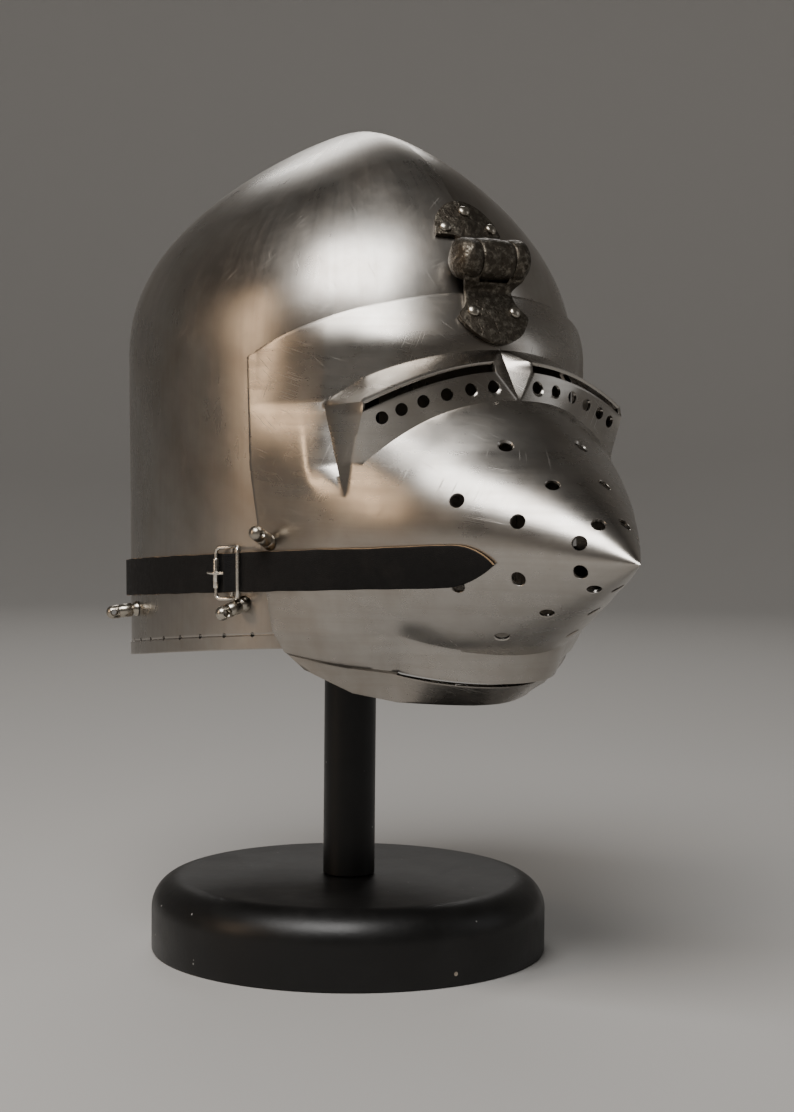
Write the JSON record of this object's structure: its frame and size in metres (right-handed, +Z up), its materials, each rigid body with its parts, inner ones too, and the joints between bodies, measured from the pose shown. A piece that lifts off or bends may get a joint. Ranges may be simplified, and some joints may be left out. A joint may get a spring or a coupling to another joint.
{
  "type": "visored bascinet helmet on a display stand",
  "caption": "Rounded steel war helmet with a pointed, pierced snout visor hinged at the brow, a buckled leather strap and pegs, resting on a plain round turned stand.",
  "frame": {"origin": "centre of the stand's base in the face that it rests on, on the axis of its column", "axes": "+Z up along the column, -Y towards the point of the visor, -X towards the wearer's right side, where the buckle is"},
  "size_m": [0.2536, 0.414, 0.4535],
  "materials": {
    "steel": "hand-polished steel with hammer marks and fine scratches",
    "forged_iron": "dark pitted forged iron",
    "nickel": "worn nickel plate",
    "leather": "black grain leather with cut edges",
    "black_paint": "turned wood under satin black paint"
  },
  "bodies": {
    "root": {"skull": "steel", "visor": "steel", "hinge_rivet_top": "steel", "hinge_rivet_upper_right": "steel", "hinge_rivet_upper_left": "steel", "hinge_rivet_lower_right": "steel", "hinge_rivet_lower_left": "steel", "vervelle_rear_right": "steel", "vervelle_rear_left": "steel", "vervelle_cheek_right": "steel", "vervelle_cheek_left": "steel", "visor_peg_right": "steel", "visor_peg_left": "steel", "hinge_upper_leaf": "forged_iron", "hinge_lower_leaf": "forged_iron", "hinge_pin": "forged_iron", "buckle_frame": "nickel", "buckle_roller": "nickel", "buckle_tongue": "nickel", "strap_rivet": "nickel", "strap": "leather", "strap_chape": "leather", "stand_base": "black_paint", "stand_post": "black_paint", "stand_cap": "black_paint"}
  },
  "joints": []
}
